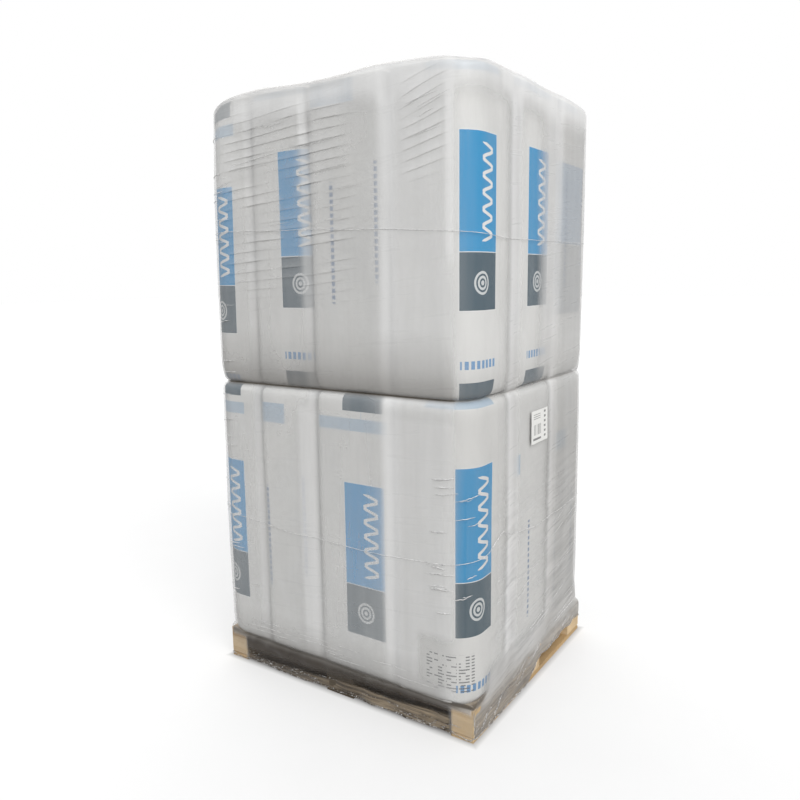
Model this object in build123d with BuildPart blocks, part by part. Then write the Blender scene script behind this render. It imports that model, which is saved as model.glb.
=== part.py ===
"""A pallet load of insulation rolls: a block pallet, two tiers of rolls on end, and a stretch hood.

The origin is on the ground under the middle of the pallet. X runs across the
load, Y from its front to its back, and Z is up. All sizes are millimetres.
"""

from build123d import *
from math import asin, cos, degrees, radians
import os

# Pallet: skids below, blocks on the skids, cross boards on the blocks, deck boards on top
pallet_width = 1310
pallet_depth = 1140
skid_width = 100
centre_skid_width = 145
skid_thickness = 22
skid_bevel = 12
block_length = 145
block_height = 78
cross_board_width = 145
cross_board_thickness = 22
deck_board_widths = [145, 100, 145, 100, 145, 100, 145]
deck_board_thickness = 22

# The stack: two tiers of rolls, which fill the pallet and stand out over its edges
tiers = ["lower", "upper"]
rows = ["front", "middle", "back"]
columns = 4
side_overhang = 5
end_overhang = 40.5
stack_width = pallet_width + 2 * side_overhang
stack_depth = pallet_depth + 2 * end_overhang

# Rolls: mineral wool wound up tight in a printed bag, standing on end
roll_width = stack_width / columns
roll_depth = stack_depth / len(rows)
roll_height = 1200
roll_corner = 0.36 * roll_width
roll_end_bevel = 14
roll_clearance = 0.6
eye_length = 60
eye_width = 8

# How far each groove between two rolls is pushed over, as a share of a roll's width or depth
column_groove_shifts = {
    "front": [-0.15, -0.21, -0.06],
    "middle": [-0.05, 0.02, 0.03],
    "back": [0.06, 0.1, 0.14],
}
row_groove_shifts = [-0.093, -0.061]

# Stretch hood: clear film drawn down over the rolls and the sides of the pallet
film_thickness = 1
film_clearance = 0.6
film_bend_radius = 700
waist_bevel = 12
foot_bevel = 12
shoulder_bevel = 12
skirt_clearance = 3
hem_height = 12
side_hem_rise = 4

# Delivery label, stuck on the hood over the middle roll of the right side
label_width = 170
label_height = 155
label_thickness = 0.4
label_behind_middle = 34
label_below_tier_line = 101

# Heights worked out from the pieces that carry each other
block_base = skid_thickness
cross_board_base = block_base + block_height
deck_base = cross_board_base + cross_board_thickness
deck_top = deck_base + deck_board_thickness
tier_bases = [deck_top + tier * roll_height for tier in range(len(tiers))]
stack_top = tier_bases[-1] + roll_height


def groove_lines(count, pitch, shifts):
    """The places where one row's pieces meet, with the outer faces at both ends."""
    first = -count * pitch / 2
    inner = [first + (index + 1 + shift) * pitch for index, shift in enumerate(shifts)]
    return [first] + inner + [-first]


row_lines = groove_lines(len(rows), roll_depth, row_groove_shifts)


def roll_plan():
    """Each roll's row, column, centre and section, with no clearance taken off."""
    plan = []
    for row_index, row in enumerate(rows):
        front, back = row_lines[row_index], row_lines[row_index + 1]
        lines = groove_lines(columns, roll_width, column_groove_shifts[row])
        for column in range(columns):
            left, right = lines[column], lines[column + 1]
            centre = ((left + right) / 2, (front + back) / 2)
            plan.append((row, column + 1, centre, right - left, back - front))
    return plan


os.makedirs("parts", exist_ok=True)


def save(piece, name):
    """Names a finished piece and writes it to its own file."""
    piece.part.label = name
    export_step(piece.part, f"parts/{name}.step")


# Rolls: an upright bar of squashed round section, bevelled at both ends, its eye pressed to a slit
for tier, tier_base in zip(tiers, tier_bases):
    for row, column, centre, width, depth in roll_plan():
        with BuildPart() as roll:
            with BuildSketch(Plane.XY.offset(tier_base)):
                with Locations(centre):
                    RectangleRounded(width - roll_clearance, depth - roll_clearance, roll_corner)
            extrude(amount=roll_height)
            ends = roll.faces().filter_by(Axis.Z).edges()
            chamfer(ends, length=roll_end_bevel)
            with BuildSketch(Plane.XY.offset(tier_base)):
                with Locations(centre):
                    Rectangle(eye_width, eye_length)
            extrude(amount=roll_height, mode=Mode.SUBTRACT)
        save(roll, f"roll_{tier}_{row}_{column}")

# Skids: three bottom boards that run from front to back, with their ends bevelled for the forks
side_x = (pallet_width - skid_width) / 2
skids = {
    "left": (-side_x, skid_width),
    "centre": (0, centre_skid_width),
    "right": (side_x, skid_width),
}
for side, (x, width) in skids.items():
    with BuildPart() as skid:
        with BuildSketch():
            with Locations((x, 0)):
                Rectangle(width, pallet_depth)
        extrude(amount=skid_thickness)
        end_edges = skid.faces().sort_by(Axis.Z)[-1].edges().filter_by(Axis.X)
        chamfer(end_edges, length=skid_bevel)
    save(skid, f"skid_{side}")

# Blocks: three on each skid, as wide as their skid
end_y = (pallet_depth - block_length) / 2
block_rows = {"front": -end_y, "middle": 0, "back": end_y}
for side, (x, width) in skids.items():
    for row, y in block_rows.items():
        with BuildPart() as block:
            with BuildSketch(Plane.XY.offset(block_base)):
                with Locations((x, y)):
                    Rectangle(width, block_length)
            extrude(amount=block_height)
        save(block, f"block_{side}_{row}")

# Cross boards: they tie the three skids together across the pallet
cross_y = (pallet_depth - cross_board_width) / 2
cross_rows = {"front": -cross_y, "middle": 0, "back": cross_y}
for row, y in cross_rows.items():
    with BuildPart() as cross_board:
        with BuildSketch(Plane.XY.offset(cross_board_base)):
            with Locations((0, y)):
                Rectangle(pallet_width, cross_board_width)
        extrude(amount=cross_board_thickness)
    save(cross_board, f"cross_board_{row}")

# Deck boards: from front to back, wide and narrow by turns, with equal gaps between them
deck_gap = (pallet_width - sum(deck_board_widths)) / (len(deck_board_widths) - 1)
left_edge = -pallet_width / 2
for number, width in enumerate(deck_board_widths, start=1):
    with BuildPart() as deck_board:
        with BuildSketch(Plane.XY.offset(deck_base)):
            with Locations((left_edge + width / 2, 0)):
                Rectangle(width, pallet_depth)
        extrude(amount=deck_board_thickness)
    save(deck_board, f"deck_board_{number}")
    left_edge += width + deck_gap


def groove_bite(grow):
    """What one groove takes out of the film's flat side: the film leaves one roll and meets the next."""
    reach = roll_corner + film_bend_radius
    lean = degrees(asin(roll_corner / reach))
    bridge_centre = (0, reach * cos(radians(lean)) - roll_corner)
    with BuildSketch() as bite:
        with BuildLine():
            CenterArc((-roll_corner, -roll_corner), roll_corner + grow, 90, -lean)
            CenterArc(bridge_centre, film_bend_radius - grow, 270 - lean, 2 * lean)
            CenterArc((roll_corner, -roll_corner), roll_corner + grow, 90 + lean, -lean)
            Line((-roll_corner, grow), (roll_corner, grow))
        make_face()
    return bite.sketch


def load_outline(grow, height):
    """The film's line round the rolls: flat over each roll, and drawn in a little at each groove."""
    front_grooves = groove_lines(columns, roll_width, column_groove_shifts["front"])[1:-1]
    back_grooves = groove_lines(columns, roll_width, column_groove_shifts["back"])[1:-1]
    side_grooves = row_lines[1:-1]
    places = [Location((x, -stack_depth / 2), 180) for x in front_grooves]
    places += [Location((x, stack_depth / 2), 0) for x in back_grooves]
    places += [Location((stack_width / 2, y), -90) for y in side_grooves]
    places += [Location((-stack_width / 2, y), 90) for y in side_grooves]
    bite = groove_bite(grow)
    with BuildSketch(Plane.XY.offset(height)) as outline:
        RectangleRounded(stack_width + 2 * grow, stack_depth + 2 * grow, roll_corner + grow)
        with Locations(places):
            add(bite, mode=Mode.SUBTRACT)
    return outline.sketch


def load_body(grow, skirt_grow, rise):
    """The shape that the film's outer or inner side encloses, from the floor up to the top."""
    lower, upper = tier_bases
    foot, top = lower - rise, stack_top + rise
    with BuildPart() as body:
        extrude(load_outline(grow, foot), amount=upper - foot)
        chamfer(body.faces().sort_by(Axis.Z)[0].edges(), length=foot_bevel)
        chamfer(body.faces().sort_by(Axis.Z)[-1].edges(), length=waist_bevel)
    with BuildPart() as upper_body:
        extrude(load_outline(grow, upper), amount=top - upper)
        chamfer(upper_body.faces().sort_by(Axis.Z)[0].edges(), length=waist_bevel)
        chamfer(upper_body.faces().sort_by(Axis.Z)[-1].edges(), length=shoulder_bevel)
    with BuildPart() as skirt:
        with BuildSketch(Plane.XY.offset(hem_height)):
            Rectangle(pallet_width + 2 * skirt_grow, pallet_depth + 2 * skirt_grow)
        extrude(amount=lower - hem_height)
    return body.part + upper_body.part + skirt.part


# Stretch hood: one thin skin, with its hem drawn up between the corner blocks on the left and right
hood_outside = load_body(film_clearance + film_thickness, skirt_clearance + film_thickness, film_thickness)
hood_inside = load_body(film_clearance, skirt_clearance, 0)
hem_opening_width = stack_width + 2 * side_overhang
hem_opening_depth = pallet_depth - 2 * block_length
with BuildPart() as stretch_hood:
    add(hood_outside)
    add(hood_inside, mode=Mode.SUBTRACT)
    with BuildSketch():
        Rectangle(hem_opening_width, hem_opening_depth)
    extrude(amount=cross_board_base + side_hem_rise, mode=Mode.SUBTRACT)
save(stretch_hood, "stretch_hood")

# Delivery label: a thin sheet flat on the hood's right side
label_base = tier_bases[1] - label_below_tier_line - label_height
label_x = stack_width / 2 + film_clearance + film_thickness
label_y = (row_lines[1] + row_lines[2]) / 2 + label_behind_middle
with BuildPart() as delivery_label:
    with BuildSketch(Plane.XY.offset(label_base)):
        with Locations((label_x + label_thickness / 2, label_y)):
            Rectangle(label_thickness, label_width)
    extrude(amount=label_height)
save(delivery_label, "delivery_label")
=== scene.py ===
from itertools import product
import math

import bpy
import numpy as np
from mathutils import Matrix, Vector


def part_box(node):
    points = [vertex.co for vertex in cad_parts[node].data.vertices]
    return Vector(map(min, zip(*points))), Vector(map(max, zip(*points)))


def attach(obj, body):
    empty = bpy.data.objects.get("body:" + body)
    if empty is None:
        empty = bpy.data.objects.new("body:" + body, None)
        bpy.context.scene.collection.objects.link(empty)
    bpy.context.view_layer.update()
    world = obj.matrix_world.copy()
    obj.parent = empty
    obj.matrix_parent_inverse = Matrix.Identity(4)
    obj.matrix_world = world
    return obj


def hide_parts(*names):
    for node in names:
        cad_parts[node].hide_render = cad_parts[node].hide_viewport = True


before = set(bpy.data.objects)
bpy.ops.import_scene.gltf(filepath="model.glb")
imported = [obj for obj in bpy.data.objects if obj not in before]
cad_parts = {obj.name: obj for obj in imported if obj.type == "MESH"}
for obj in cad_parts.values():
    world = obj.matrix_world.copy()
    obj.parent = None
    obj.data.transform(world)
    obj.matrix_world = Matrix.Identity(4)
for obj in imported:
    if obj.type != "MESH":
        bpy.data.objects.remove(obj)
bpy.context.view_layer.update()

# A pallet load of insulation rolls in stretch film. Sizes are metres, in the CAD model's own frame.

tiers = ("lower", "upper")
rows = ("front", "middle", "back")
columns = (1, 2, 3, 4)

# Rolls: the bag stays a little inside its solid. A rounded end goes so far up the side, and so far in.
bag_gap = 0.003
outer_corner = 0.1188
edge_corner = 0.03
inner_corner = 0.085
end_round = (0.032, 0.022)
lower_foot_round = (0.042, 0.032)
near_foot_round = (0.028, 0.022)
end_crown = 0.012
upper_rolls_lowered = 0.018
turns_of_mat = 6.8
bag_fold = 0.74
puckers_round = 26
eye_half_length = 0.03
eye_half_width = 0.004
points_round = 96
rings_up = 42

# Film: the line that it follows round the tiers, and round the pallet's sides
film_corner = 0.1204
skirt_corner = 0.02
skirt_gap = 0.004
groove_reach = 0.033
groove_depth = 0.0035
shoulder_round = 0.032
foot_top = 0.178
foot_bottom = 0.118
foot_raised_at_corners = 0.030
left_corner_drop = 0.034
other_corner_drop = 0.018
tier_draws_in = 0.016
waist_crease = 0.010
pleat_spacing = 0.038
hem_height = 0.009
row_step = 0.0115
fine_row_step = 0.004
label_lift = 0.0016


# Soft steps and noise

def smooth_step(value, start, end):
    """0 before start, 1 after end, and a soft rise between them."""
    t = np.clip((value - start) / (end - start), 0, 1)
    return t * t * (3 - 2 * t)


def between(value, start, end, soft):
    """1 between two values, with soft ends."""
    return smooth_step(value, start - soft, start + soft) * (1 - smooth_step(value, end - soft, end + soft))


def hump(value, middle, reach):
    """1 at a middle, and softly down to 0 on both sides."""
    return np.exp(-(((value - middle) / reach) ** 2))


def toward(value, goal, share):
    """A value moved a share of the way to a goal."""
    return value + (goal - value) * share


def cell_value(i, j, seed):
    """A number from -1 to 1 for each cell of a grid, the same on every run."""
    mixed = (i * 374761393 + j * 668265263 + seed * 97463477) & 0xFFFFFFFF
    mixed = ((mixed ^ (mixed >> 13)) * 1274126177) & 0xFFFFFFFF
    return ((mixed ^ (mixed >> 16)) & 0xFFFF) / 32767.5 - 1


def soft_noise(u, v, seed, wrap=None):
    """Soft lumps from -1 to 1, one to a cell. wrap is the number of cells after which u starts again."""
    i, j = np.floor(u).astype(np.int64), np.floor(v).astype(np.int64)
    a, b = u - i, v - j
    a, b = a * a * (3 - 2 * a), b * b * (3 - 2 * b)
    left, right = (i % wrap, (i + 1) % wrap) if wrap else (i, i + 1)
    below = cell_value(left, j, seed) * (1 - a) + cell_value(right, j, seed) * a
    above = cell_value(left, j + 1, seed) * (1 - a) + cell_value(right, j + 1, seed) * a
    return below * (1 - b) + above * b


# Plan lines

# The corners, from +X -Y round, in the order in which their turns begin and end
turn_angles = np.radians([-45, 0, 0, 90, 90, 180, 180, 270, 270, 315])
turn_corner = np.array([0, 0, 1, 1, 2, 2, 3, 3, 0, 0])
turn_side_x = np.array([1, 1, -1, -1])[turn_corner]
turn_side_y = np.array([-1, 1, 1, -1])[turn_corner]


class PlanLine:
    """A rounded rectangle seen from above. Places on it are distances from the middle of its +X -Y corner."""

    def __init__(self, half_x, half_y, radii, knots=None):
        self.half_x, self.half_y = half_x, half_y
        self.radii = np.array(radii)
        if knots is None:
            runs = [radii[0] * math.pi / 4]
            for corner, half in enumerate((half_y, half_x, half_y, half_x)):
                following = radii[(corner + 1) % 4]
                runs += [2 * half - radii[corner] - following, following * math.pi / 2]
            runs[-1] = runs[0]
            knots = np.concatenate([[0.0], np.cumsum(runs)])
        self.knots, self.length = knots, knots[-1]

    def points(self, along):
        """Points on the line and their outward directions."""
        along = np.mod(along, self.length)
        angle = np.interp(along, self.knots, turn_angles)
        out = np.stack([np.cos(angle), np.sin(angle)], axis=-1)
        radius = self.radii[turn_corner]
        centre_x = np.interp(along, self.knots, turn_side_x * (self.half_x - radius))
        centre_y = np.interp(along, self.knots, turn_side_y * (self.half_y - radius))
        turn = np.interp(along, self.knots, radius)
        return np.stack([centre_x, centre_y], axis=-1) + out * turn[..., None], out

    def place(self, side, at):
        """The place on the line that has a given X or Y on one of the four sides."""
        if side == "right":
            return self.knots[1] + at + self.half_y - self.radii[0]
        if side == "back":
            return self.knots[3] + self.half_x - self.radii[1] - at
        if side == "left":
            return self.knots[5] + self.half_y - self.radii[2] - at
        return self.knots[7] + at + self.half_x - self.radii[3]


# The stack, as the CAD model has it

def roll_name(tier, row, column):
    return f"roll_{tier}_{row}_{column}"


def meeting(first, second, axis):
    """The line where two neighbouring rolls meet, along X (0) or Y (1)."""
    return (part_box(first)[1][axis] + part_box(second)[0][axis]) / 2


column_lines = {
    row: [meeting(roll_name("lower", row, c), roll_name("lower", row, c + 1), 0) for c in columns[:-1]]
    for row in rows
}
row_lines = [meeting(roll_name("lower", a, 1), roll_name("lower", b, 1), 1) for a, b in zip(rows, rows[1:])]

half_width, half_depth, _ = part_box("stretch_hood")[1]
foot_of_load, waist = [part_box(roll_name(tier, "front", 1))[0][2] for tier in tiers]
stack_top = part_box(roll_name("upper", "front", 1))[1][2]
tier_height = stack_top - waist
pallet_half_width, pallet_half_depth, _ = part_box("skid_right")[1]
block_inner_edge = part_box("block_right_front")[0][0]

film_line = PlanLine(half_width, half_depth, [film_corner] * 4)
around = film_line.length
skirt_line = PlanLine(
    pallet_half_width + skirt_gap, pallet_half_depth + skirt_gap, [skirt_corner] * 4, film_line.knots,
)

grooves = [film_line.place(side, y) for side in ("right", "left") for y in row_lines]
grooves += [film_line.place(side, x) for side in ("back", "front") for x in column_lines[side]]


def from_place(along, place):
    """Distance along the film's line from a place on it, negative on the way round to it."""
    return np.mod(along - place + around / 2, around) - around / 2


def from_nearest_groove(along):
    """Distance along the film's line to the nearest groove between two rolls."""
    return np.min([np.abs(from_place(along, groove)) for groove in grooves], axis=0)


def wrapped_noise(along, height, size_along, size_up, seed):
    """Soft lumps on the film that meet where its line closes."""
    cells = max(1, round(around / size_along))
    return soft_noise(np.mod(along, around) * cells / around, height / size_up, seed, cells)


def line_noise(along, size, seed):
    """Soft lumps along the film's line, the same at every height."""
    return wrapped_noise(along, np.zeros_like(along), size, 1, seed)


# The film's shape. Places on it are given from the near corner, positive along the right side.

def near_edge(x, y, side_x, side_y, reach):
    """1 at one of the load's upright edges, and softly down to 0 away from it."""
    return hump(np.hypot(x - side_x * half_width, y - side_y * half_depth), 0, reach)


def corner_drop(x, y):
    """How far the load's top has gone down at its four corners: the most at the left of the front."""
    drop = left_corner_drop * near_edge(x, y, -1, -1, 0.11)
    for side_x, side_y in ((1, -1), (1, 1), (-1, 1)):
        drop = drop + other_corner_drop * near_edge(x, y, side_x, side_y, 0.11)
    return drop


def drawn_together(points):
    """Moves places on the load to where the film has drawn it in, at its two far edges."""
    x, y, z = points[..., 0], points[..., 1], points[..., 2]
    on_load = smooth_step(z, foot_of_load, foot_of_load + 0.15)
    up_tier = np.clip((z - waist) / tier_height, 0, 1)
    right = 0.011 * near_edge(x, y, 1, 1, 0.17) * on_load
    left = 0.034 * near_edge(x, y, -1, -1, 0.30) * up_tier ** 2
    return points + np.stack([left - right, -right, np.zeros_like(z)], axis=-1)


def top_line(along):
    """How high the film's shoulder stands: lower at the corners, and highest over the front's third roll."""
    from_near = from_place(along, 0)
    line = stack_top - 0.003 + 0.0035 * line_noise(along, 0.2, 5)
    line = line + 0.012 * hump(from_near, -0.37, 0.14) + 0.008 * hump(from_near, -0.92, 0.14)
    place, _ = film_line.points(along)
    return line - corner_drop(place[..., 0], place[..., 1])


def turn_in(height):
    """How far the load turns in toward the foot of each tier and the lower tier's top edge."""
    above_waist = height - waist
    above = np.clip(1 - above_waist / 0.11, 0, 1) * (above_waist >= 0)
    below = np.clip(1 + above_waist / 0.05, 0, 1) * (above_waist < 0)
    foot = np.clip(1 - (height - foot_of_load) / 0.11, 0, 1)
    return tier_draws_in * (above ** 2 + below ** 2) + 0.008 * foot ** 2


def at_corners(along):
    """1 round the load's four corners, where the film steps out over the pallet's square ones."""
    middles = [0.0] + [(film_line.knots[turn] + film_line.knots[turn + 1]) / 2 for turn in (2, 4, 6)]
    nearest = np.min([np.abs(from_place(along, middle)) for middle in middles], axis=0)
    return 1 - smooth_step(nearest, 0.085, 0.125)


def film_surface(along, height):
    """Points on the film and its outward directions. Above the shoulder, height is measured round it."""
    round_start = top_line(along) - shoulder_round
    angle = np.clip((height - round_start) / shoulder_round, 0, math.pi / 2)
    level = np.where(height > round_start, round_start + shoulder_round * np.sin(angle), height)
    over = shoulder_round * (1 - np.cos(angle))
    foot_start = foot_bottom + foot_raised_at_corners * at_corners(along)
    into_pallet = 1 - smooth_step(height, foot_start, foot_top)
    on_tier, out = film_line.points(along)
    on_skirt, _ = skirt_line.points(along)
    place = toward(on_tier, on_skirt, into_pallet[..., None])

    pull = groove_depth * (1 + 0.35 * wrapped_noise(along, height, 0.4, 0.3, 11))
    groove = pull * hump(from_nearest_groove(along), 0, groove_reach)
    drawn_in = 1 - 0.5 * between(from_place(along, 0), 0.16, 1.2, 0.12)
    crease_in = waist_crease * hump(height, waist, 0.009) + turn_in(height)
    in_tier = np.where(height > waist, height - waist, height - foot_of_load) / tier_height
    belly = 0.003 * np.sin(math.pi * np.clip(in_tier, 0, 1))
    lumps = 0.0022 * wrapped_noise(along, height, 0.31, 0.36, 3)
    ripples = 0.0006 * wrapped_noise(along, height - 0.12 * from_place(along, 0), 0.24, 0.06, 7)
    on_load = groove + drawn_in * crease_in - belly - lumps - ripples
    crumple = 0.004 * wrapped_noise(along, height, 0.06, 0.04, 13)
    crumple += 0.0022 * wrapped_noise(along, height, 0.026, 0.02, 17)
    inset = over + on_load * (1 - into_pallet) - crumple * into_pallet
    points = np.concatenate([place - out * inset[..., None], level[..., None]], axis=-1)
    return drawn_together(points), out


def hem_line(along):
    """How low the film hangs: to the ground on the front, back and corners, higher on the left and right."""
    on_right = between(from_place(along, 0), 0.60, 1.36, 0.09)
    on_left = between(from_place(along, film_line.place("left", 0)), -0.46, 0.46, 0.05)
    ragged = 0.005 * line_noise(along, 0.11, 29) + 0.006 * line_noise(along, 0.035, 31)
    return hem_height + 0.6 * ragged + (0.066 + 0.6 * ragged) * on_right + 0.065 * on_left


# The film's looks, from how far each of its parts reaches

near_start, near_end = -0.045, 0.20
back_roll_start, back_roll_end = film_line.place("right", 0.19), film_line.place("right", 0.56)


class FilmPlaces:
    """Places on the film, with the parts of it that look different: 1 in a part, and softly 0 outside it."""

    def __init__(self, along, height):
        self.along, self.height = along, height
        self.from_near = from_place(along, 0)
        self.front = self.across(-1.25, near_start, 0.018)
        self.near = self.across(near_start, near_end, 0.018)
        self.right = self.across(near_end, back_roll_start, 0.03)
        self.near_left = self.across(-0.36, near_start, 0.06)
        self.on_front = self.across(-1.22, -0.10, 0.05)
        self.on_upper = smooth_step(height, waist, waist + 0.1)
        self.right_foot = self.across(0.12, 1.20, 0.05) * (1 - smooth_step(height, 0.19, 0.30))
        # A painted shadow line under the bags at the near corner
        self.shadow_under_corner = 0.9 * self.across(-0.12, 0.13, 0.02) * self.up(0.141, 0.164, 0.005)
        self.in_skirt = 1 - smooth_step(height, foot_bottom - 0.01, foot_bottom + 0.02)

        # Film that stands off the bags: over each groove, and before those of the right side
        reach = 0.026 + 0.012 * self.right + 0.016 * self.near_left
        soft = 0.018 + 0.014 * self.near_left
        core = 1 - smooth_step(from_nearest_groove(along), reach - soft, reach + soft)
        self.core = core * (0.93 + 0.07 * self.noise(0.3, 0.25, 27))
        self.seam = hump(from_nearest_groove(along + 0.035), 0, 0.040) * (self.right + self.near)

        # Wide bridges of film over two of the front's grooves: milkier, and lighter with a painted sheen
        self.bridge = self.across(-0.785, -0.700, 0.018) * self.up(0.2, 1.29, 0.05)
        self.bridge = self.bridge + self.across(-0.735, -0.70, 0.010) * self.up(2.31, 2.50, 0.03)

        # Milkier film over the shoulder, down the near corner's edge and at the far left, which also get a
        # painted sheen
        over_edge = smooth_step(height, stack_top - 0.17, stack_top - 0.06)
        self.shoulder = over_edge * (1 - 0.65 * self.across(-1.30, -1.10, 0.02))
        self.edge = self.across(-0.075, near_start, 0.010) * self.up(1.85, 2.47, 0.05)
        at_left = (1 - smooth_step(self.from_near, -1.16, -1.0)) * (self.from_near > -1.4)
        self.far_left = at_left * smooth_step(height, 2.05, 2.25)

        # Clearer film over the ruled block of the near corner's roll
        self.window = self.across(-0.20, near_start, 0.02) * self.up(0.22, 0.42, 0.03)

    def across(self, start, end, soft):
        return between(self.from_near, start, end, soft)

    def up(self, start, end, soft):
        return between(self.height, start, end, soft)

    def noise(self, size_along, size_up, seed):
        return wrapped_noise(self.along, self.height, size_along, size_up, seed)


def load_haze(at):
    """How milky the film is over the load: clear over the near corner's prints, milky off the bags."""
    haze = 0.32 - 0.27 * at.near - 0.16 * at.right + 0.08 * at.across(back_roll_start, back_roll_end, 0.03)
    haze = haze + 0.05 * at.noise(0.16, 0.5, 23) * (1 - at.near)

    # Clearer over the left roll, the right side's and the second roll's upper print, and the lower tier's top
    haze = haze - 0.06 * (at.across(-1.30, -1.02, 0.03) + at.right * at.on_upper)
    haze = haze - 0.06 * at.across(-0.93, -0.76, 0.02) * at.on_upper
    haze = haze - 0.10 * at.front * at.up(1.262, 1.33, 0.012)

    # Milky off the bags, and over the far edge of the right side's upper print
    haze = toward(haze, 0.62 + 0.08 * (at.right + at.near), at.core)
    haze = toward(haze, 0.90, at.seam)
    haze = toward(haze, 0.70, 0.8 * at.across(0.58, 0.78, 0.07) * at.on_upper)
    haze = toward(haze, 0.62, at.bridge)
    haze = haze + 0.16 * at.near_left + 0.06 * at.far_left + 0.2 * at.edge
    haze = haze * (1 - 0.7 * at.window)
    haze = toward(haze, 0.72, at.shoulder * (1 - 0.25 * at.near))
    return toward(haze, 0.82, at.right_foot)


def load_shade(at):
    """The film's painted shade over the load: at each tier's foot, along its rim, under the near corner, over
    the right side's foot and grooves, and at the right's far end.
    """
    above_waist = at.height - waist
    under = np.clip(1 - above_waist / 0.26, 0, 1) * (above_waist >= 0) + hump(at.height, waist, 0.006)
    tier_and_rim_shade = under ** 1.4 * (0.17 + 0.35 * at.front)
    # Painted shade along the rim, the most where the film faces up
    above_side = at.height - top_line(at.along)
    tier_and_rim_shade = tier_and_rim_shade + 0.10 * smooth_step(above_side, -0.05, -0.03) * at.across(-1.3, -0.5, 0.08)
    tier_and_rim_shade = tier_and_rim_shade + 0.36 * smooth_step(above_side, -0.03, 0.012)
    depth = np.clip((0.31 - at.height) / (0.31 - 0.145), 0, 1)
    foot = (0.26 * depth + 0.60 * depth ** 8) * at.on_front
    shade = np.clip(foot + at.shadow_under_corner + tier_and_rim_shade, 0, 0.95)
    shade = shade + 0.22 * at.right_foot + 0.08 * at.core * (at.right + at.near) * (at.height < waist)
    shade = shade + 0.18 * at.across(0.66, 1.25, 0.11) * (1 - smooth_step(at.height, 1.0, 1.34))
    return shade + 0.09 * at.across(0.82, 1.25, 0.06) * at.up(1.55, 2.42, 0.08)


def skirt_looks(at):
    """The skirt's haze, painted shade, dirt with painted shadow, and mud: dark under the overhang in front,
    muddy toward the hem, with bare blocks.
    """
    x = skirt_line.points(at.along)[0][..., 0]
    off_blocks = between(x, -block_inner_edge, block_inner_edge, 0.012)
    # The front but for its blocks: a painted shadow under the overhang, with dirt
    front_shadow_and_dirt = at.on_front * np.maximum(off_blocks, 0.08 * (x < 0))
    band_top = 0.040 + 0.045 * smooth_step(at.from_near, -0.95, -0.15)
    band_top = band_top + 0.006 * line_noise(at.along, 0.13, 35)
    band = (1 - smooth_step(at.height, band_top - 0.008, band_top + 0.008)) * front_shadow_and_dirt
    # A painted shadow band under the overhang, above the mud band
    dark_band = front_shadow_and_dirt * smooth_step(at.height, band_top + 0.01, band_top + 0.04)
    on_right = at.across(0.0, 1.20, 0.02)
    down_right = on_right * (1 - smooth_step(at.height, 0.075, 0.17))
    shade = np.maximum(at.shadow_under_corner, 0.9 * dark_band)
    haze = 0.06 + 0.04 * at.noise(0.07, 0.03, 33) + 0.20 * front_shadow_and_dirt + 0.50 * band + 0.74 * on_right
    # Darkened film: painted shadow and dirt in front, darker low on the right, and the painted shadow line
    # under the near corner
    dirt_and_shadow = np.maximum(np.maximum(front_shadow_and_dirt * at.in_skirt, 0.55 * down_right), 0.75 * at.shadow_under_corner)
    mud = band * (0.3 + 0.7 * smooth_step(at.from_near, -1.0, -0.35)) * at.in_skirt + 0.65 * down_right
    return toward(haze, 0.88, shade), shade, dirt_and_shadow, mud


def pleat_looks(at):
    """The pleats' own count up the film, and how strong they are."""
    rise = 0.08 * at.from_near + 0.20 * np.clip(at.from_near + 0.28, 0, None)
    pleat = (at.height - rise) / pleat_spacing + 0.32 * at.noise(0.34, 0.12, 41)
    drawn = at.across(-1.16, -0.50, 0.07) * smooth_step(at.height, 1.60, 2.0)
    drawn = drawn * (1 - smooth_step(at.height, 2.40, 2.48))
    drawn = drawn + 0.6 * at.across(-0.24, -0.08, 0.03) * at.up(2.14, 2.49, 0.03)
    off_seen_sides = (at.from_near > 1.3) | (at.from_near < -1.33)
    behind = off_seen_sides * (np.abs(at.from_near) < around / 2 - 0.1)
    drawn = drawn + 0.6 * behind * at.up(1.6, 2.44, 0.06)
    return pleat, drawn * np.clip(0.6 + 0.7 * at.noise(0.1, 0.05, 43), 0, 1)


def film_looks(along, height):
    """What the film's finish needs at its points."""
    at = FilmPlaces(along, height)
    shade = load_shade(at)
    haze = toward(load_haze(at), 0.92, shade)
    skirt_haze, skirt_shade, dirt_and_shadow, mud = skirt_looks(at)
    pleat, pleat_strength = pleat_looks(at)
    # Painted sheen: lighter film over the near roll's left, the shoulder, the far left, the near corner's
    # edge and the bridges
    painted_sheen = 0.9 * (at.near_left + at.shoulder + at.far_left) + 0.6 * at.edge
    return {
        "haze": np.clip(toward(haze, skirt_haze, at.in_skirt), 0.03, 0.88),
        "dirt_and_shadow": np.clip(dirt_and_shadow, 0, 1),
        "mud": np.clip(mud, 0, 1),
        "sheen": np.clip(0.5 * at.bridge + painted_sheen * (1 - 0.5 * at.window), 0, 1),
        "shade": toward(shade ** 0.7, skirt_shade, at.in_skirt),
        "pulled": at.across(0.16, 1.12, 0.08) * (1 - smooth_step(height, 0.75, 1.1)),
        "pleat": pleat,
        "pleat_strength": pleat_strength,
    }


# Meshes from grids of points

def link_piece(name, data):
    """A new object in the scene."""
    piece = bpy.data.objects.new(name, data)
    bpy.context.collection.objects.link(piece)
    return piece


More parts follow.
